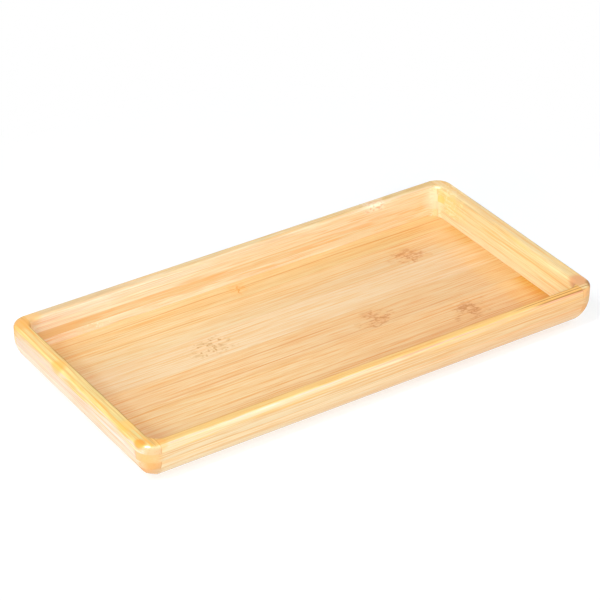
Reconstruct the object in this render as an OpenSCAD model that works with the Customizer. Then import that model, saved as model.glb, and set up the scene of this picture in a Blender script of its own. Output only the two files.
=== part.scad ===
// Bamboo serving tray: a floor edge-glued from long strips, and four walls laminated from plies
// whose ends lap each other by turns at the corners. Millimetres, +Z up.
// The origin is the centre of the flat face that the tray rests on, +X along the tray's length.

/* [Tray] */
// Outside length, left wall to right wall
tray_length = 300; // [220:1:420]
// Outside width, front wall to back wall
tray_width = 152.5; // [120:0.5:260]
// Radius of the upright outer corners, seen from above
outer_corner = 10.5; // [6:0.5:16]
// Radius of the upright inner corners, seen from above
inner_corner = 7; // [4:0.5:14]

/* [Floor] */
// Thickness of the floor panel
floor_thickness = 7; // [6:0.2:9]

/* [Walls] */
// Thickness of one wall ply; four plies stand on the floor
ply_thickness = 5.25; // [4:0.05:7]
// Width of the plies before the inside is routed out, and so the length of each corner lap
rail_stock = 10; // [9:0.5:14]
// Finished thickness of the long front and back walls
long_wall = 7; // [6.5:0.1:9]
// Finished thickness of the short left and right walls
short_wall = 8.5; // [7:0.1:9]

/* [Edges] */
// Radius of the large quarter round between the outer wall and the foot
underside_round = 20.5; // [10:0.5:22]
// Radius of the rim's outer edge
rim_outer_round = 2.2; // [0.5:0.1:3]
// Radius of the rim's inner edge
rim_inner_round = 2; // [0.5:0.1:3]

/* [Hidden] */
$fn = 96;

// Number of plies in each wall, and of strips in the floor
ply_count = 4;
strip_count = 7;
// Places of the floor's seams, as shares of the width from the front edge to the back edge
floor_seam_shares = [0, 0.092, 0.237, 0.388, 0.536, 0.697, 0.845, 1];
// Tones of the strips from front to back, and of the plies from the floor up
strip_tones = ["#EBC48F", "#E9C795", "#F0CB99", "#EDD0A0", "#F3D9AE", "#EECB98", "#F0D092"];
ply_tones = ["#F2D3A6", "#EFC795", "#F3D6AB", "#F2D291"];

tray_height = floor_thickness + ply_count * ply_thickness;
// How far a cutting shape runs past the face that it cuts
overrun = ply_thickness;
// Rounds are held to what the walls can carry
thin_wall = min(long_wall, short_wall);
rim_outer_r = min(rim_outer_round, ply_thickness, thin_wall / 2);
rim_inner_r = min(rim_inner_round, ply_thickness, thin_wall / 2);
// The underside round may take at most this share of a wall's width away from its glue joint with the floor
glue_inset_share = 0.79;
glue_inset = thin_wall * glue_inset_share;
glue_limit_r = glue_inset + floor_thickness + sqrt(2 * glue_inset * floor_thickness);
underside_r = min(underside_round, glue_limit_r, tray_height - rim_outer_r);
// A ball form eases the hip where two underside rounds meet below a corner. It clears the upright corner
// above by ball_clearance, and its lowest point lies ball_dip below the foot.
ball_clearance = 4;
ball_dip = 0.2;
ball_r = (underside_r - outer_corner) * sqrt(2) + outer_corner + ball_clearance;

// Edge section of the outside: the face lies on the Y axis of the drawing, the wood to its left.
// A quarter round rises from the foot, and a small round closes the rim.
module outside_edge() {
    difference() {
        translate([-tray_length / 2, 0])
            square([tray_length / 2, tray_height]);
        edge_cutter(underside_r, underside_r, -1);
        edge_cutter(rim_outer_r, tray_height - rim_outer_r, 1);
    }
}

// What a quarter round of radius r takes off the face's edge below (-1) or above (1) the height z
module edge_cutter(r, z, side) {
    translate([-r, z])
        difference() {
            mirror([0, side < 0 ? 1 : 0])
                square(r + overrun);
            circle(r = r);
        }
}

// Edge section of the hollow: straight walls on the floor, flaring at the rim by its inner round
module hollow_edge() {
    translate([-tray_length / 2, floor_thickness])
        square([tray_length / 2, tray_height - floor_thickness + overrun]);
    difference() {
        translate([0, tray_height - rim_inner_r])
            square([rim_inner_r, rim_inner_r + overrun]);
        translate([rim_inner_r, tray_height - rim_inner_r])
            circle(r = rim_inner_r);
    }
}

// The part of an edge section that lies outside the middle plane, with its face at the given distance
module half_section(distance) {
    intersection() {
        translate([distance, 0])
            children();
        square([distance + overrun, tray_height + overrun]);
    }
}

module full_section(distance) {
    half_section(distance)
        children();
    mirror([1, 0])
        half_section(distance)
            children();
}

// Carries an edge section round a rectangle: two crossed extrusions give the straight sides,
// and a quarter turn of the same section gives each corner
module carried_round(length, width, corner) {
    axis_x = length / 2 - corner;
    axis_y = width / 2 - corner;
    past = corner + overrun;
    difference() {
        intersection() {
            rotate([90, 0, 0])
                linear_extrude(height = width + 2 * overrun, center = true)
                    full_section(length / 2)
                        children();
            rotate([90, 0, 90])
                linear_extrude(height = length + 2 * overrun, center = true)
                    full_section(width / 2)
                        children();
        }
        for (sx = [-1, 1], sy = [-1, 1])
            translate([sx * (axis_x + past / 2), sy * (axis_y + past / 2), tray_height / 2])
                cube([past, past, tray_height + 2 * overrun], center = true);
    }
    for (quarter = [0 : 3]) {
        sx = quarter == 0 || quarter == 3 ? 1 : -1;
        sy = quarter < 2 ? 1 : -1;
        translate([sx * axis_x, sy * axis_y, 0])
            rotate([0, 0, 90 * quarter])
                rotate_extrude(angle = 90)
                    half_section(corner)
                        children();
    }
}

// The tray's outside as one block, and the hollow that is routed out of it
module outside() {
    difference() {
        carried_round(tray_length, tray_width, outer_corner)
            outside_edge();
        for (sx = [-1, 1], sy = [-1, 1])
            translate([sx * (tray_length / 2 - underside_r), sy * (tray_width / 2 - underside_r), 0])
                corner_sanding(sx, sy);
    }
}

// What sanding takes off below a corner: the corner block as far as it lies outside the ball form
module corner_sanding(sx, sy) {
    block = underside_r + overrun;
    middle = ball_dip + block / 2;
    translate([0, 0, ball_r - ball_dip])
        difference() {
            translate([sx * middle, sy * middle, -ball_r / 2 - overrun / 2])
                cube([block, block, ball_r + overrun], center = true);
            sphere(r = ball_r);
        }
}

module hollow() {
    carried_round(tray_length - 2 * short_wall, tray_width - 2 * long_wall, inner_corner)
        hollow_edge();
}

// A block of raw stock between two corners in plan, from height z0 to z1
module stock(x0, x1, y0, y1, z0, z1) {
    translate([x0, y0, z0])
        cube([x1 - x0, y1 - y0, z1 - z0]);
}

module routed() {
    difference() {
        intersection() {
            outside();
            children();
        }
        hollow();
    }
}

// One strip of the floor panel; strip 1 lies at the front
module floor_strip(i) {
    y0 = (floor_seam_shares[i - 1] - 0.5) * tray_width;
    y1 = (floor_seam_shares[i] - 0.5) * tray_width;
    color(strip_tones[i - 1])
        intersection() {
            outside();
            stock(-tray_length / 2, tray_length / 2, y0, y1, 0, floor_thickness);
        }
}

// At even plies the short walls run through to the front and back faces, at odd plies the long walls
// run through to the left and right faces
function short_runs_through(i) = i % 2 == 0;
function ply_bottom(i) = floor_thickness + (i - 1) * ply_thickness;

// One ply of a long wall: side is -1 at the front and 1 at the back, ply 1 is the lowest
module long_ply(side, i) {
    reach = tray_length / 2 - (short_runs_through(i) ? rail_stock : 0);
    near = side * tray_width / 2;
    inner = side * (tray_width / 2 - rail_stock);
    color(ply_tones[i - 1])
        routed()
            stock(-reach, reach, min(near, inner), max(near, inner), ply_bottom(i), ply_bottom(i + 1));
}

// One ply of a short wall: side is -1 at the left and 1 at the right, ply 1 is the lowest
module short_ply(side, i) {
    reach = tray_width / 2 - (short_runs_through(i) ? 0 : rail_stock);
    near = side * tray_length / 2;
    inner = side * (tray_length / 2 - rail_stock);
    color(ply_tones[i - 1])
        routed()
            stock(min(near, inner), max(near, inner), -reach, reach, ply_bottom(i), ply_bottom(i + 1));
}

for (i = [1 : strip_count]) {
    floor_strip(i);
}
for (i = [1 : ply_count]) {
    long_ply(-1, i);
    long_ply(1, i);
    short_ply(-1, i);
    short_ply(1, i);
}
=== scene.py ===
"""Bamboo serving tray: the finish of its strips and plies, the studio round it and the camera."""
import math

import bpy
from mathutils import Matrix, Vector


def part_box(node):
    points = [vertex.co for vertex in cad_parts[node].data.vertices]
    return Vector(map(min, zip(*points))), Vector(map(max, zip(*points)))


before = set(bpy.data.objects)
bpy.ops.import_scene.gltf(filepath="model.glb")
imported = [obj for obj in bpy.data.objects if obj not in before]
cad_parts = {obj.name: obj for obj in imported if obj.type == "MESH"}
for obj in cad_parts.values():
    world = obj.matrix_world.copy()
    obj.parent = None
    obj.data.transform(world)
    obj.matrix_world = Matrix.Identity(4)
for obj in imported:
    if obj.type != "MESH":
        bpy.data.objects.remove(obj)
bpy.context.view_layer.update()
MM = 0.001

# Places are in millimetres, as the tray lies in its frame: +X to the right wall, +Y to the back wall.
X_AXIS, Y_AXIS, Z_AXIS = AXES = 0, 1, 2

# Settings of the two nodes used most, a ramp that eases in and out and a mix of two colours, and the numbers
# of the mix's inputs
EASED = {"interpolation_type": "SMOOTHSTEP"}
COLOURS = {"data_type": "RGBA", "out": 2}
SHARE, UNDER, OVER = 0, 6, 7
WHITE = (1.0, 1.0, 1.0, 1.0)

# What a piece's own tone is multiplied by, channel by channel: in its palest and darkest fibres, in a vein or
# a glue line, in the painted shade on the floor along the walls' foot, and in the painted warm bounce light
# from the right wall on the floor
LIGHT_GAIN = (1.0, 1.08, 1.17, 1.0)
DARK_GAIN = (0.94, 0.70, 0.47, 1.0)
VEIN_GAIN = (0.86, 0.58, 0.36, 1.0)
PAINTED_SHADE_GAIN = (0.84, 0.68, 0.56, 1.0)
PAINTED_BOUNCE_GAIN = (0.89, 0.68, 0.11, 1.0)

# Fibres of three sizes: how long and how wide they are in mm, and for the dark and the pale ones where in the
# noise they begin, where they are full, and their greatest share
GRAIN = {
    "drift": {"run": 150.0, "width": 4.0, "dark": (0.5, 0.7, 0.25), "pale": (0.5, 0.3, 0.6)},
    "coarse": {"run": 80.0, "width": 0.95, "dark": (0.52, 0.64, 0.7), "pale": (0.47, 0.36, 0.8)},
    "fine": {"run": 24.0, "width": 0.45, "dark": (0.5, 0.68, 0.6), "pale": (0.5, 0.32, 0.6)},
}
# Each piece shows its own stretch of the noise, this far on for every step of its seed. Further steps keep a
# piece's flecks off each other, and its flecks and strokes off its grain.
SEED_STEP = (17.3, 5.1, 9.7)
FLECK_SEED, NEXT_FLECK_SEED, STROKE_SEED = 7, 11, 3
# How busy the noise is within a fibre, a stroke and a vein's waver, and within a knot's edge and ridge
FIBRE_DETAIL, STROKE_DETAIL, WAVER_DETAIL, FIBRE_ROUGHNESS = 2.0, 1.0, 0.0, 0.55
EDGE_DETAIL, BREAK_DETAIL = 2.0, 1.0
# Nearly all of a noise lies between these two values.
NOISE_SPREAD = (0.3, 0.7)

# A vein wavers over this run and width, and fades over this much of its run at both ends, in mm.
WAVER_RUN, WAVER_WIDTH, VEIN_FADE = 70.0, 30.0, 8
# Flecks in mm, and where in the noise they begin and are full
FLECK_RUN, FLECK_WIDTH, FLECK_NOISE = 34.0, 1.7, (0.5, 0.66)
# The share of a stain's radius inside which it has its full strength
STAIN_CORE = 0.4

# A knot in shares of its half length and half width: how ragged its edge is, half the width of its ridge, and
# where its halo and its marks begin and are full
RAGGED, RIDGE_HALF, HALO_REACH, MARK_REACH = 0.35, 0.3, (1.2, 0.2), (1.0, 0.35)
# Waves per mm of its ragged edge and of the breaks in its ridge, and what the breaks leave of the ridge
EDGE_WAVES, BREAK_WAVES, BREAK_NOISE, BREAK_LEAVES = 0.22, 0.28, (0.38, 0.52), (0.25, 1.0)
# Its strokes and the spacing of its dots in mm, and where in their patterns both begin and are full
STROKE_RUN, STROKE_WIDTH, STROKE_NOISE = 6.0, 1.4, (0.5, 0.64)
DOT_SPACING, DOT_REACH = 2.2, (0.45, 0.2)

# How a face lies, by its normal. On the rim's flat and on the floor it points up, on the rim's round halfway
# up, and on a cut end along the grain.
RIM_FACING, ROUND_FACING, UPWARD_FACING, CUT_FACING = (0.75, 0.95), 0.7, (0.0, 0.5), (0.35, 0.75)
# Fibre bundles stand about 1.1 mm apart in a cut end. Their reach is a share of that.
BUNDLE_SPACING, BUNDLE_REACH, BUNDLE_SHARE = 1.1, (0.4, 0.2), 0.4
# The wood is browned to 0.4 mm on both sides of a glue line. The line shows by this much between two plies
# and between two strips.
GLUE_REACH, PLY_SEAM, STRIP_SEAM = 0.42, 0.45, 0.4
# Half the width of the pale edge's soft border, and the edge's share
PALE_BORDER, PALE_SHARE = 0.4, 0.2

# Sanded wood under a film of clear lacquer. The gloss is the film's alone. The coarse fibres stand out by up
# to a tenth of a millimetre.
WOOD = {"Roughness": 0.45, "IOR": 1.5, "Specular IOR Level": 0.0, "Coat IOR": 1.5}
FIBRE_RELIEF = {"Strength": 0.2, "Distance": 0.1 * MM}


def colour(hex_code):
    """Linear RGBA of an sRGB hex colour: each channel follows the sRGB curve."""
    channels = [int(hex_code[i:i + 2], 16) / 255 for i in (1, 3, 5)]
    return (*(c / 12.92 if c <= 0.04045 else ((c + 0.055) / 1.055) ** 2.4 for c in channels), 1.0)


def add(tree, kind, inputs, out=0, **settings):
    """Adds one node with its settings, sets or links its inputs, which are given in their order or by name or
    number, and gives back one of its outputs."""
    node = tree.nodes.new("ShaderNode" + kind)
    for name, value in settings.items():
        setattr(node, name, value)
    for name, value in inputs.items() if isinstance(inputs, dict) else enumerate(inputs):
        if isinstance(value, bpy.types.NodeSocket):
            tree.links.new(value, node.inputs[name])
        else:
            node.inputs[name].default_value = value
    return node.outputs[out]


def product(tree, *shares):
    """All the shares multiplied together."""
    result = shares[0]
    for share in shares[1:]:
        result = add(tree, "Math", (result, share), operation="MULTIPLY")
    return result


def near_plane(tree, coordinate, at, reach):
    """1 on the plane where the coordinate has the value at, falling to 0 at the reach from it."""
    offset = add(tree, "Math", (coordinate, at), operation="SUBTRACT")
    distance = add(tree, "Math", (offset,), operation="ABSOLUTE")
    return add(tree, "MapRange", (distance, reach, 0.0), **EASED)


def fibres(tree, place, along, run, width, seed, detail=FIBRE_DETAIL):
    """Noise drawn out along the grain, so that it reads as fibres run mm long and width mm thick."""
    scale = [1 / width] * 3
    scale[along] = 1 / run
    shift = [seed * step for step in SEED_STEP]
    moved = add(tree, "Mapping", {"Vector": place, "Location": shift, "Scale": scale})
    inputs = {"Vector": moved, "Scale": 1.0, "Detail": detail, "Roughness": FIBRE_ROUGHNESS}
    return add(tree, "TexNoise", inputs)


def plain_tone(tree, axes, facing, look):
    """The tone under the grain: it runs from one end's tone to the other's, has its own two tones on the flat
    of the rim, and a painted tint on the rim's round: painted shade on the far walls, and a pink cast on the
    front rim's highlight."""
    run = add(tree, "MapRange", (axes[look["along"]], *look["run"]), **EASED)
    start, end = (colour(code) for code in look["tones"])
    tone = add(tree, "Mix", {SHARE: run, UNDER: start, OVER: end}, **COLOURS)
    if "rim_tones" in look:
        start, end = (colour(code) for code in look["rim_tones"])
        rim = add(tree, "Mix", {SHARE: run, UNDER: start, OVER: end}, **COLOURS)
        flat = add(tree, "MapRange", (facing[Z_AXIS], *look.get("rim_reach", RIM_FACING)), **EASED)
        tone = add(tree, "Mix", {SHARE: flat, UNDER: tone, OVER: rim}, **COLOURS)
    # Painted tint on the rim's round: painted shade on the far walls, a pink cast on the front rim's
    # highlight
    if "painted_round_tint" in look:
        tint, reach = look["painted_round_tint"]
        on_round = near_plane(tree, facing[Z_AXIS], ROUND_FACING, reach)
        inputs = {SHARE: on_round, UNDER: tone, OVER: tint}
        tone = add(tree, "Mix", inputs, blend_type="MULTIPLY", **COLOURS)
    return tone


# The next functions give layers: the share that a tone has at each spot, the tone, and whether it is laid
# over what is under it or multiplies that.


def grain(tree, place, along, strength, dark, pale, seed):
    """The fibres of all three sizes, dark ones and pale ones, and the coarse ones' noise for the relief."""
    layers, noises = [], {}
    for number, (size, fibre) in enumerate(GRAIN.items()):
        noise = noises[size] = fibres(tree, place, along, fibre["run"], fibre["width"], seed + number)
        for kind, tone in (("dark", dark), ("pale", pale)):
            begins, full, most = fibre[kind]
            share = add(tree, "MapRange", (noise, begins, full, 0.0, most * strength), **EASED)
            layers.append((share, tone, "MIX"))
    return layers, noises["coarse"]


def fleck_layer(tree, place, along, fleck, seed):
    """Short stretches of the wood that run in another tone: (strength, tone)."""
    strength, tone = fleck
    patches = fibres(tree, place, along, FLECK_RUN, FLECK_WIDTH, seed)
    return add(tree, "MapRange", (patches, *FLECK_NOISE, 0.0, strength), **EASED), colour(tone), "MIX"


def vein_layer(tree, place, axes, vein, dark, seed):
    """One long vein: ((axis across, its place), (axis along, from, to), half width, strength), and its tone
    where it isn't the plain dark one. It wavers by up to half of its half width."""
    (across, across_at), (along, start, end), half, strength, *own_tone = vein
    noise = fibres(tree, place, along, WAVER_RUN, WAVER_WIDTH, seed, WAVER_DETAIL)
    waver = add(tree, "MapRange", (noise, *NOISE_SPREAD, -half / 2, half / 2), **EASED)
    wavering = add(tree, "Math", (axes[across], waver), operation="ADD")
    line = near_plane(tree, wavering, across_at, half)
    fade_in = add(tree, "MapRange", (axes[along], start - VEIN_FADE, start + VEIN_FADE), **EASED)
    fade_out = add(tree, "MapRange", (axes[along], end + VEIN_FADE, end - VEIN_FADE), **EASED)
    share = product(tree, fade_in, fade_out, strength, line)
    return share, colour(own_tone[0]) if own_tone else dark, "MIX"


def knot_layers(tree, place, axes, along, knot, seed):
    """The trace of a culm's knot in a strip: in a ragged oval the tone turns to the halo's, a broken brown
    ridge crosses the grain, and short strokes and dots lie round it. A knot says its place and half size
    along and across the grain, its slant, and how strong each kind of mark is."""
    (at_run, at_cross), (half_run, half_cross) = knot["at"], knot["half"]
    edge = add(tree, "TexNoise", {"Vector": place, "Scale": EDGE_WAVES, "Detail": EDGE_DETAIL})
    ragged = add(tree, "MapRange", (edge, *NOISE_SPREAD, -RAGGED, RAGGED), **EASED)
    cross = add(tree, "Math", (axes[knot.get("across", Y_AXIS)], at_cross), operation="SUBTRACT")
    run = add(tree, "Math", (axes[along], at_run), operation="SUBTRACT")
    upright = add(tree, "Math", (cross, -knot["slant"], run), operation="MULTIPLY_ADD")
    run_share = add(tree, "Math", (upright, 1 / half_run, ragged), operation="MULTIPLY_ADD")
    cross_share = add(tree, "Math", (cross, half_cross), operation="DIVIDE")
    spot = add(tree, "CombineXYZ", (run_share, cross_share))
    far = add(tree, "VectorMath", (spot,), out="Value", operation="LENGTH")

    halo_tone, halo_strength = knot["halo"]
    halo = add(tree, "MapRange", (far, *HALO_REACH, 0.0, halo_strength), **EASED)
    breaks = add(tree, "TexNoise", {"Vector": place, "Scale": BREAK_WAVES, "Detail": BREAK_DETAIL})
    unbroken = add(tree, "MapRange", (breaks, *BREAK_NOISE, *BREAK_LEAVES), **EASED)
    strokes = fibres(tree, place, along, STROKE_RUN, STROKE_WIDTH, seed, STROKE_DETAIL)
    dots = add(tree, "TexVoronoi", {"Vector": place, "Scale": 1 / DOT_SPACING})
    marks = {"ridge": product(tree, near_plane(tree, run_share, 0.0, RIDGE_HALF), unbroken),
             "strokes": add(tree, "MapRange", (strokes, *STROKE_NOISE), **EASED),
             "dots": add(tree, "MapRange", (dots, *DOT_REACH), **EASED)}
    deepest = 0.0
    for kind, mark in marks.items():
        if kind in knot:
            deepest = add(tree, "Math", (deepest, product(tree, mark, knot[kind])), operation="MAXIMUM")
    inside = add(tree, "MapRange", (far, *MARK_REACH), **EASED)
    marked = product(tree, deepest, inside)
    return [(halo, colour(halo_tone), "MIX"), (marked, colour(knot["tone"]), "MIX")]


def end_grain_layer(tree, place, across_grain, end_tone):
    """A cut end, dotted with the darker ends of the fibre bundles."""
    cut = add(tree, "Math", (across_grain,), operation="ABSOLUTE")
    cells = add(tree, "TexVoronoi", {"Vector": place, "Scale": 1 / BUNDLE_SPACING})
    bundles = add(tree, "MapRange", (cells, *BUNDLE_REACH, 0.0, BUNDLE_SHARE), **EASED)
    inputs = {SHARE: bundles, UNDER: end_tone, OVER: DARK_GAIN}
    dotted = add(tree, "Mix", inputs, blend_type="MULTIPLY", **COLOURS)
    return add(tree, "MapRange", (cut, *CUT_FACING), **EASED), dotted, "MIX"


def stain_layer(tree, place, stain):
    """A soft patch of another tone round a point: ((x, y, z), radius, strength, tone)."""
    at, radius, strength, tone = stain
    far = add(tree, "VectorMath", (place, at), out="Value", operation="DISTANCE")
    share = add(tree, "MapRange", (far, radius, radius * STAIN_CORE, 0.0, strength), **EASED)
    return share, colour(tone), "MIX"


def lacquered_bamboo(name, look, seed):
    """Natural bamboo strip, planed, sanded and clear lacquered.

    The eye gets a slow drift of tone, long dark and pale fibres in two sizes, a hair line of glue at each
    seam, dotted end grain where a ply is cut across, and the satin gloss of the lacquer over it all."""
    material = bpy.data.materials.new("lacquered_bamboo_" + name)
    material.use_nodes = True
    tree = material.node_tree
    place = add(tree, "TexCoord", (), out="Object")
    place = add(tree, "VectorMath", {0: place, "Scale": 1 / MM}, operation="SCALE")
    axes = [add(tree, "SeparateXYZ", (place,), out=axis) for axis in AXES]
    normal = add(tree, "NewGeometry", (), out="Normal")
    facing = [add(tree, "SeparateXYZ", (normal,), out=axis) for axis in AXES]

    along = look["along"]
    tone = plain_tone(tree, axes, facing, look)
    pale, dark, darkest = (
        add(tree, "Mix", {SHARE: 1.0, UNDER: tone, OVER: gain}, blend_type="MULTIPLY", **COLOURS)
        for gain in (LIGHT_GAIN, DARK_GAIN, VEIN_GAIN))
    layers, relief = grain(tree, place, along, look.get("fibre", 1.0), dark, pale, seed)
    if "pale_from" in look:
        edge = look["pale_from"]
        inputs = (axes[Y_AXIS], edge - PALE_BORDER, edge + PALE_BORDER, 0.0, PALE_SHARE)
        layers.append((add(tree, "MapRange", inputs, **EASED), pale, "MIX"))
    upward = add(tree, "MapRange", (facing[Z_AXIS], *UPWARD_FACING), **EASED)
    # Painted shade at the walls' foot, and painted warm bounce light at the right wall's foot, on upper faces
    # only
    for axis, begins, ends, most, gain in look.get("shades", []):
        share = add(tree, "MapRange", (axes[axis], begins, ends, 0.0, most), **EASED)
        layers.append((product(tree, share, upward), gain, "MULTIPLY"))
    for number, fleck in enumerate(look.get("flecks", [])):
        fleck_seed = seed + FLECK_SEED + NEXT_FLECK_SEED * number
        layers.append(fleck_layer(tree, place, along, fleck, fleck_seed))
    for number, vein in enumerate(look.get("veins", [])):
        layers.append(vein_layer(tree, place, axes, vein, darkest, seed + number))
    for number, knot in enumerate(look.get("knots", [])):
        layers += knot_layers(tree, place, axes, along, knot, seed + STROKE_SEED + number)
    end_tone = colour(look.get("end_tone", look["tones"][0]))
    layers.append(end_grain_layer(tree, place, facing[along], end_tone))
    for axis, at, strength in look["seams"]:
        glue = product(tree, near_plane(tree, axes[axis], at, GLUE_REACH), strength)
        layers.append((glue, darkest, "MIX"))
    layers += [stain_layer(tree, place, stain) for stain in look.get("stains", [])]

    base = tone
    for share, over, how in layers:
        base = add(tree, "Mix", {SHARE: share, UNDER: base, OVER: over}, blend_type=how, **COLOURS)
    surface = tree.nodes["Principled BSDF"]
    tree.links.new(base, surface.inputs["Base Color"])
    tree.links.new(add(tree, "Bump", {"Height": relief, **FIBRE_RELIEF}), surface.inputs["Normal"])
    for socket, value in {**WOOD, **look["lacquer"]}.items():
        surface.inputs[socket].default_value = value
    return material


# Knots with a brown ridge, and pale ones that show in a wall's plies
BROWN_KNOT = {"ridge": 0.9, "strokes": 0.75, "halo": ("#E4AA66", 0.55), "tone": "#C88240"}
PALE_KNOT = {"slant": 0.0, "across": Z_AXIS, "strokes": 0.5, "dots": 0.35,
             "halo": ("#F8D48C", 0.5), "tone": "#FDEDC8"}
# Painted shade: the floor is darker in its near left corner, where the two walls shade it. The patch hangs
# above the floor, clear of the underside.
NEAR_CORNER_PAINTED_SHADE = ((-125, -43, 26), 27, 0.75, "#C98F60")

# Each strip of the floor from the front: its tones at the left and the right end, how strong the painted
# warm bounce light from the right wall is at its foot (glow), how strong its fibres are, its knots, veins and
# stains, and on the last one where its pale back edge begins
STRIP_LOOKS = {
    1: {"tones": ("#EFCA90", "#E7B77B")},
    2: {"tones": ("#EEC88D", "#E6B578"), "glow": 0.5, "fibre": 1.5, "stains": [NEAR_CORNER_PAINTED_SHADE]},
    3: {"tones": ("#EECC92", "#E8BA7F"), "glow": 0.75, "fibre": 1.6, "stains": [NEAR_CORNER_PAINTED_SHADE],
        "knots": [{"at": (94, -31), "half": (14, 13), "slant": 0.15, **BROWN_KNOT}],
        "veins": [((Y_AXIS, -19), (X_AXIS, -140, 30), 0.7, 0.6),
                  ((Y_AXIS, -36), (X_AXIS, -140, 140), 0.6, 0.5)]},
    4: {"tones": ("#EEC88F", "#E4BA82"), "glow": 0.25, "fibre": 1.6,
        "knots": [{"at": (43, -9), "half": (13, 12), "slant": 0.15, **BROWN_KNOT}],
        "veins": [((Y_AXIS, -2.5), (X_AXIS, -125, 20), 0.8, 0.8),
                  ((Y_AXIS, -14), (X_AXIS, -140, 90), 0.7, 0.7)]},
    5: {"tones": ("#ECCE9D", "#E8C593"), "glow": 0.3, "fibre": 1.1,
        "knots": [{"at": (-51, 17.5), "half": (17, 12), "slant": 0.1, "strokes": 0.5, "dots": 0.95,
                   "halo": ("#F0CC9A", 0.35), "tone": "#CE9658"}]},
    6: {"tones": ("#EACC97", "#E4BF8A"), "glow": 0.5, "fibre": 1.2,
        "knots": [{"at": (99, 37), "half": (14, 12), "slant": -0.2, **BROWN_KNOT}],
        "veins": [((Y_AXIS, 46), (X_AXIS, -115, -40), 0.8, 0.8)]},
    7: {"tones": ("#E5C793", "#E1BE84"), "fibre": 1.3, "pale_from": 63.6,
        "knots": [{"at": (-8, 61), "half": (7, 7), "slant": 0.3, "ridge": 0.8, "strokes": 0.5,
                   "halo": ("#EEB060", 0.3), "tone": "#DC9440"}],
        "veins": [((Y_AXIS, 63), (X_AXIS, -145, 145), 0.7, 0.9),
                  ((Y_AXIS, 57), (X_AXIS, -145, 145), 0.6, 0.5)]},
}
# Painted shade: the floor is darker along the foot of the left and the front wall, where the walls shade it,
# from the first place to the second. The last reach is that of the painted warm bounce light at the foot of
# the right wall.
FLOOR_PAINTED_SHADES = [(X_AXIS, -98.0, -120.0, 0.15, PAINTED_SHADE_GAIN), (X_AXIS, -116.0, -125.0, 0.6, PAINTED_SHADE_GAIN),
                (Y_AXIS, -34.0, -46.0, 0.35, PAINTED_SHADE_GAIN)]
# Where the painted warm bounce light from the right wall lies on the floor, in mm along X
PAINTED_BOUNCE_REACH = (129.0, 141.0)

# Tone of each ply of a wall from the lowest up, at the two ends of its run. In part painted light: the far
# walls' plies are set paler, to make up for light that their inner faces get less of than the floor.
RAIL_TONES = {
    "front": [("#EFD4A7", "#ECC596"), ("#EFD4A7", "#ECC596"),
              ("#E1C89E", "#E4BE8C"), ("#E2C99A", "#E5C08E")],
    "back": [("#F7E2C2", "#E7CEA1"), ("#E9CE9B", "#E9CFA0"),
             ("#F7DDB8", "#EBD1A4"), ("#F4DFC4", "#F6DBB4")],
    "left": [("#E2C9AA", "#F1D7BE"), ("#E3CAAC", "#F1D7C0"),
             ("#E5CCBB", "#D9C1A9"), ("#E4CBB4", "#D8C0A0")],
    "right": [("#F7E2B0", "#F4D9B0"), ("#F7E4B0", "#EBD19E"),
              ("#F7E3AB", "#EBD19D"), ("#F7E0A9", "#E9CF9E")],
}
RIM_TONES = {"front": ("#E2BD78", "#EFC57C"), "back": ("#E9CFA1", "#E6CD99"),
             "left": ("#DCC482", "#E9C886"), "right": ("#ECD29C", "#F3D49F")}
# Tone of the cut ends of each wall's plies from the lowest up
END_TONES = {
    "front": ["#EFC08A", "#EFC08A", "#E9B684", "#EDBE88"],
    "back": ["#F2CC98", "#F0C48C", "#F4D0A0", "#F8D8A8"],
    "left": ["#DFA468", "#E1AE76", "#E0B078", "#D8B284"],
    "right": ["#E4B27A", "#E0A86C", "#E4B27A", "#E8B478"],
}
# Short stretches of another tone in a ply, as the photograph shows them: strength and tone
RAIL_FLECKS = {
    "left_rail_ply_4": [(0.75, "#EBAA4E"), (0.6, "#F8DC98")],
    "left_rail_ply_3": [(0.4, "#F4CE96")],
    "back_rail_ply_1": [(0.6, "#F3B873"), (0.5, "#FDF0D8")],
    "back_rail_ply_2": [(0.5, "#EDAA66")],
    "back_rail_ply_3": [(0.5, "#FBEBD0")],
    "back_rail_ply_4": [(0.4, "#F4C88E"), (0.2, "#FFF2DC")],
    "right_rail_ply_1": [(0.4, "#FFF2D0")],
    "right_rail_ply_3": [(0.35, "#F4C476")],
    "right_rail_ply_4": [(0.35, "#F4C476")],
    "front_rail_ply_4": [(0.35, "#F0BC5C")],
}
# Local patches that the photograph shows at the corners and on the left rim: place, radius, strength and
# tone.
# The pale one in the back right inner corner is a painted highlight.
PAINTED_CORNER_HIGHLIGHT = ((139, 68.5, 18), 10, 0.45, "#F4E4CC")
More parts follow.
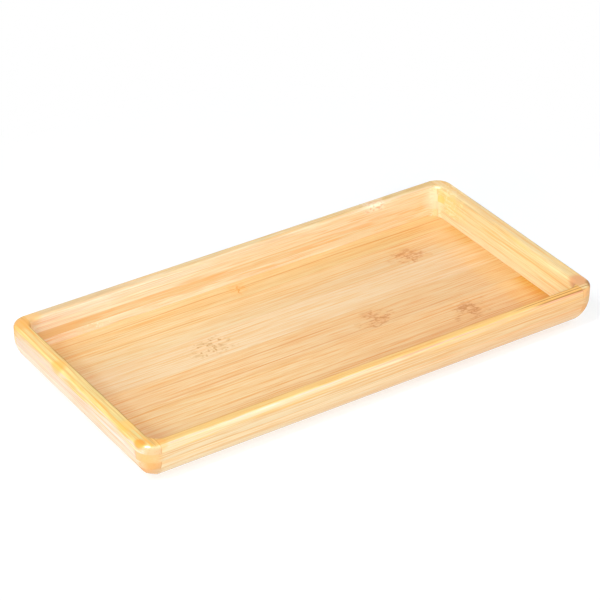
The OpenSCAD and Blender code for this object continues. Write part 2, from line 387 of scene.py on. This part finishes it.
# Painted shade on the near right corner's outer round, which faces away from the light
PAINTED_CORNER_SHADE = ((150.5, -69.5, 19), 7, 0.6, "#B87C48")
RAIL_STAINS = {
    "left_rail_ply_4": [((-148.6, -67.8, 28), 5.2, 0.9, "#E49C40"), ((-145, 68, 28), 8, 0.7, "#EFAC5A"),
                        ((-149, 20, 28), 7, 0.6, "#F2A840"), ((-146, -50, 28), 7, 0.4, "#F5B850")],
    "left_rail_ply_3": [((-150, -67, 22), 4, 0.6, "#D9A888")],
    "left_rail_ply_2": [((-148, -74, 15), 9, 0.5, "#D8A058")],
    "front_rail_ply_4": [((-139, -74, 28), 5, 0.6, "#E8A85C")],
    "front_rail_ply_3": [((-147, -75, 20), 10, 0.7, "#D8A868")],
    "front_rail_ply_1": [((-147, -70, 9), 12, 0.6, "#D09258")],
    "back_rail_ply_4": [((-137, 72, 28), 8, 0.7, "#EDBE7C"), PAINTED_CORNER_HIGHLIGHT],
    "back_rail_ply_3": [PAINTED_CORNER_HIGHLIGHT],
    "back_rail_ply_2": [PAINTED_CORNER_HIGHLIGHT, ((-124, 69.5, 15), 24, 0.6, "#F0BA78")],
    "right_rail_ply_2": [PAINTED_CORNER_HIGHLIGHT, PAINTED_CORNER_SHADE],
    "right_rail_ply_4": [((144, -65.5, 28), 8, 0.9, "#DDA070"),
                         ((149.6, -71.5, 27), 5, 1.0, "#A06A34")],
    "right_rail_ply_3": [PAINTED_CORNER_HIGHLIGHT, PAINTED_CORNER_SHADE, ((141, 64, 20), 5, 0.7, "#F3C25E")],
}
RAIL_KNOTS = {
    "back_rail_ply_1": [{"at": (-101, 10.5), "half": (13, 5), "slant": 0.2, "across": Z_AXIS,
                         "strokes": 0.4, "dots": 0.8, "halo": ("#FAD9A8", 0.5), "tone": "#FFF4E0"}],
    "back_rail_ply_4": [{"at": (96, 26), "half": (10, 4), "slant": 0.2, "across": Z_AXIS,
                         "strokes": 0.6, "dots": 0.5, "halo": ("#FFF0D8", 0.6), "tone": "#E0A468"}],
    "right_rail_ply_4": [{"at": (58, 24), "half": (16, 8), **PALE_KNOT}],
    "right_rail_ply_3": [{"at": (56, 20), "half": (16, 8), **PALE_KNOT}],
    "right_rail_ply_2": [{"at": (54, 15), "half": (14, 8), **PALE_KNOT, "halo": ("#F8D48C", 0.4)}],
}
# Three brown veins run on the front rim into the right corner. A pale one under the front rim's outer edge is
# a painted highlight that widens its lit edge. A dark one edges the rim, outside on the far walls and inside
# on
# the near walls: painted shade on the rounds that face away from the light. A lighter one below it on the
# back rim is painted shade that dims the lit inner round. The others are thin dark fibres on the walls'
# faces.
CORNER_VEINS = [((Y_AXIS, -75.2), (X_AXIS, 108, 170), 0.8, 1.0, "#AC6E2A"),
                ((Y_AXIS, -72.8), (X_AXIS, 96, 170), 0.6, 1.0, "#B4762E"),
                ((Y_AXIS, -70.4), (X_AXIS, 70, 170), 0.7, 0.8, "#C08840")]
RAIL_VEINS = {
    # Front rim: a painted highlight under the outer edge, and painted shade at the inner edge
    "front_rail_ply_4": [((Z_AXIS, 25.4), (X_AXIS, -170, 15), 1.8, 0.45, "#F2DCB8"),
                         ((Z_AXIS, 23.6), (X_AXIS, -60, 150), 0.4, 0.5),
                         ((Y_AXIS, -69.9), (X_AXIS, -170, 170), 1.3, 0.8, "#D49C54"), *CORNER_VEINS],
    "right_rail_ply_4": [*CORNER_VEINS, ((X_AXIS, 149.8), (Y_AXIS, -90, 90), 1.0, 0.9, "#C09458")],
    "left_rail_ply_4": [((X_AXIS, -142.2), (Y_AXIS, -90, 90), 1.6, 0.8, "#D49C54")],
    "front_rail_ply_3": [((Z_AXIS, 21.5), (X_AXIS, -150, 150), 0.4, 0.5)],
    # Back rim: painted shade at the outer edge and on the lit inner round
    "back_rail_ply_4": [((Y_AXIS, 76.1), (X_AXIS, -170, 170), 1.0, 0.9, "#BC9C6A"),
                        ((Z_AXIS, 27.2), (X_AXIS, -170, 50), 0.9, 0.9, "#D6B68A")],
    "back_rail_ply_3": [((Z_AXIS, 20.0), (X_AXIS, -150, 150), 0.35, 0.35)],
    "right_rail_ply_3": [((Z_AXIS, 20.2), (Y_AXIS, -70, 0), 0.8, 0.35)],
}

# The lacquer of the floor is a full film. On the walls it is thinner, satin on the near ones and dull on the
# far ones, where the photograph shows hardly any gloss.
FULL_LACQUER = {"Coat Weight": 1.0, "Coat Roughness": 0.16}
SATIN = {"Coat Weight": 0.3, "Coat Roughness": 0.2}
DULL = {"Coat Weight": 0.3, "Coat Roughness": 0.35}
# How each wall is finished: its lacquer, how clearly its joints show, the painted tint and reach on its rim's
# round, and on the left wall how far down the rim's own tone goes. The tint is painted shade on the far
# walls' rounds, and a painted pink cast on the front rim's highlight.
# Painted shade that darkens the far walls' rim rounds where the lamps light them
FAR_ROUND_PAINTED_SHADE = ((0.8, 0.75, 0.66, 1.0), 0.45)
FINISHES = {
    "front": {"lacquer": SATIN, "joint": 1.0, "painted_round_tint": ((1.0, 0.84, 1.12, 1.0), 0.27)},
    "left": {"lacquer": SATIN, "joint": 1.0, "rim_reach": (0.3, 0.6)},
    "back": {"lacquer": {**DULL, "Coat Weight": 0.15}, "joint": 0.3, "painted_round_tint": FAR_ROUND_PAINTED_SHADE},
    "right": {"lacquer": DULL, "joint": 0.3, "painted_round_tint": FAR_ROUND_PAINTED_SHADE},
}


def strip_look(number, low, high):
    """A floor strip lies along the tray, with a glue line at both of its long edges, painted shade at the
    foot of the left and the front wall, and painted warm bounce light at the foot of the right wall.
    """
    look = {"along": X_AXIS, "lacquer": FULL_LACQUER, **STRIP_LOOKS[number]}
    look["seams"] = [(Y_AXIS, edge, STRIP_SEAM) for edge in (low.y, high.y)]
    look["shades"] = [*FLOOR_PAINTED_SHADES, (X_AXIS, *PAINTED_BOUNCE_REACH, look.get("glow", 0.0), PAINTED_BOUNCE_GAIN)]
    return look


def ply_look(name, wall, ply, low, high):
    """A ply lies along its wall, with a glue line below it and at the wall's inner face. By turns a ply runs
    through to the corner or ends at a joint there: the even ones of a long wall end, and the odd ones of a
    short wall."""
    long_wall = wall in ("front", "back")
    along, across = (X_AXIS, Y_AXIS) if long_wall else (Y_AXIS, X_AXIS)
    inner = high if wall in ("front", "left") else low
    joint = FINISHES[wall]["joint"]
    seams = [(Z_AXIS, low.z, PLY_SEAM), (across, inner[across], joint)]
    if long_wall == (ply % 2 == 0):
        seams += [(along, low[along], joint), (along, high[along], joint)]
    look = {"along": along, "seams": seams, "tones": RAIL_TONES[wall][ply - 1],
            "end_tone": END_TONES[wall][ply - 1], "flecks": RAIL_FLECKS.get(name, []),
            "veins": RAIL_VEINS.get(name, []), "knots": RAIL_KNOTS.get(name, []),
            "stains": RAIL_STAINS.get(name, []), **FINISHES[wall]}
    if ply == len(RAIL_TONES[wall]):
        look["rim_tones"] = RIM_TONES[wall]
    return look


for seed, (name, piece) in enumerate(sorted(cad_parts.items())):
    low, high = (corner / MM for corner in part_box(name))
    where, *_, number = name.split("_")
    if where == "floor":
        look = strip_look(int(number), low, high)
    else:
        look = ply_look(name, where, int(number), low, high)
    look["run"] = (low[look["along"]], high[look["along"]])
    piece.data.materials.clear()
    piece.data.materials.append(lacquered_bamboo(name, look, seed))

# The camera stands where the photograph was taken from.
VIEW_TURN, VIEW_LIFT, VIEW_DISTANCE = -33.279, 32.017, 1571.66
VIEW_TARGET = (23.48, 41.238, 0.0)
VIEW_FOCAL_PX, FRAME_PX, SENSOR = 2681.13, 600, 36.0
FARTHEST_SEEN = 20
turn, lift = math.radians(VIEW_TURN), math.radians(VIEW_LIFT)
back = Vector((math.sin(turn) * math.cos(lift), -math.cos(turn) * math.cos(lift), math.sin(lift)))
camera = bpy.data.objects.new("camera", bpy.data.cameras.new("camera"))
bpy.context.scene.collection.objects.link(camera)
bpy.context.scene.camera = camera
camera.data.sensor_width = SENSOR
camera.data.lens = VIEW_FOCAL_PX / FRAME_PX * SENSOR
camera.data.clip_end = FARTHEST_SEEN
camera.location = (Vector(VIEW_TARGET) + back * VIEW_DISTANCE) * MM
camera.rotation_mode = "QUATERNION"
camera.rotation_quaternion = (-back).to_track_quat("-Z", "Y")

# The lamps and the white sheet are in metres, and the lamps' power in watts.
LAMP_DISTANCE = 1.6
# Strength of the even light from above, and of what a white table throws back from below. The one turns into
# the other just above the horizon.
SKY_LIGHT, GROUND_LIGHT, HORIZON = 0.39, 1.0, (0.0, 0.05)
# The sheet lies a hair under the tray. It takes the tray's shade near it, and is plain white from here on.
SHEET_REACH, SHEET_DROP, PLAIN_WHITE_FROM = 3.0, 0.05 * MM, (0.22, 0.32)
SHEET_SHADE, SHEET_GLOW = (0.41, 0.43, 0.46, 1.0), 0.6


def lamp(name, towards, size, power, shine):
    """A flat studio light in the given direction from the tray, facing it. Its twin, of the power given as
    shine, shows in the lacquer alone, because in the photograph the highlights are burnt out to white."""
    direction = Vector(towards).normalized()
    for twin, energy in ((name, power), (name + "_shine", shine)):
        data = bpy.data.lights.new(twin, "AREA")
        data.shape = "RECTANGLE"
        data.size, data.size_y = size
        data.energy = energy
        light = bpy.data.objects.new(twin, data)
        light.location = direction * LAMP_DISTANCE
        light.rotation_mode = "QUATERNION"
        light.rotation_quaternion = (-direction).to_track_quat("-Z", "Y")
        light.visible_diffuse = twin == name
        light.visible_glossy = twin != name
        if twin != name:
            data.cycles.max_bounces = 0
        bpy.context.scene.collection.objects.link(light)


def studio_air():
    """The even light round the tray. What the camera sees past the table, and what the lacquer mirrors, is
    white; only what lights the wood goes by the height."""
    world = bpy.data.worlds.new("studio")
    bpy.context.scene.world = world
    world.use_nodes = True
    tree = world.node_tree
    direction = add(tree, "TexCoord", (), out="Generated")
    height = add(tree, "SeparateXYZ", (direction,), out=Z_AXIS)
    even_light = add(tree, "MapRange", (height, *HORIZON, GROUND_LIGHT, SKY_LIGHT), **EASED)
    seen = add(tree, "LightPath", (), out="Is Camera Ray")
    mirrored = add(tree, "LightPath", (), out="Is Glossy Ray")
    white = add(tree, "Math", (seen, mirrored), operation="MAXIMUM")
    strength = add(tree, "Math", (even_light, white), operation="MAXIMUM")
    background = tree.nodes["Background"]
    background.inputs["Color"].default_value = WHITE
    tree.links.new(strength, background.inputs["Strength"])


def white_table():
    """A wide white sheet under the tray that takes its shadow. It is seen from above only and throws no
    light and no shadow itself, so that the tray's underside stays in sight and lit by the studio."""
    sides = ((-1, -1), (1, -1), (1, 1), (-1, 1))
    corners = [(x * SHEET_REACH, y * SHEET_REACH, -SHEET_DROP) for x, y in sides]
    mesh = bpy.data.meshes.new("table")
    mesh.from_pydata(corners, [], [tuple(range(len(corners)))])
    piece = bpy.data.objects.new("table", mesh)
    bpy.context.scene.collection.objects.link(piece)
    material = bpy.data.materials.new("matt_white_paper")
    material.use_nodes = True
    tree = material.node_tree
    tree.nodes.clear()
    shade = add(tree, "BsdfDiffuse", {"Color": SHEET_SHADE})
    glow = add(tree, "Emission", {"Color": WHITE, "Strength": SHEET_GLOW})
    near = add(tree, "AddShader", (shade, glow))
    plain = add(tree, "Emission", {"Color": WHITE})
    place = add(tree, "TexCoord", (), out="Object")
    distance = add(tree, "VectorMath", (place,), out="Value", operation="LENGTH")
    away = add(tree, "MapRange", (distance, *PLAIN_WHITE_FROM), **EASED)
    shown = add(tree, "MixShader", (away, near, plain))
    below = add(tree, "NewGeometry", (), out="Backfacing")
    clear = add(tree, "BsdfTransparent", ())
    both = add(tree, "MixShader", (below, shown, clear))
    tree.links.new(both, tree.nodes.new("ShaderNodeOutputMaterial").inputs["Surface"])
    mesh.materials.append(material)
    for rays in ("diffuse", "glossy", "transmission", "shadow"):
        setattr(piece, "visible_" + rays, False)


lamp("key_upper_left", (-0.56, -0.25, 0.77), (0.2, 0.5), 12.0, 330.0)
lamp("front_softbox", (0.21, -0.60, 0.785), (0.94, 0.4), 7.8, 70.0)
lamp("left_softbox", (-0.9, -0.3, 0.25), (1.0, 0.8), 11.0, 12.0)
lamp("low_front_softbox", (-0.35, -0.85, 0.35), (1.2, 0.7), 6.0, 3.3)
studio_air()
bpy.context.scene.view_settings.view_transform = "Standard"
white_table()
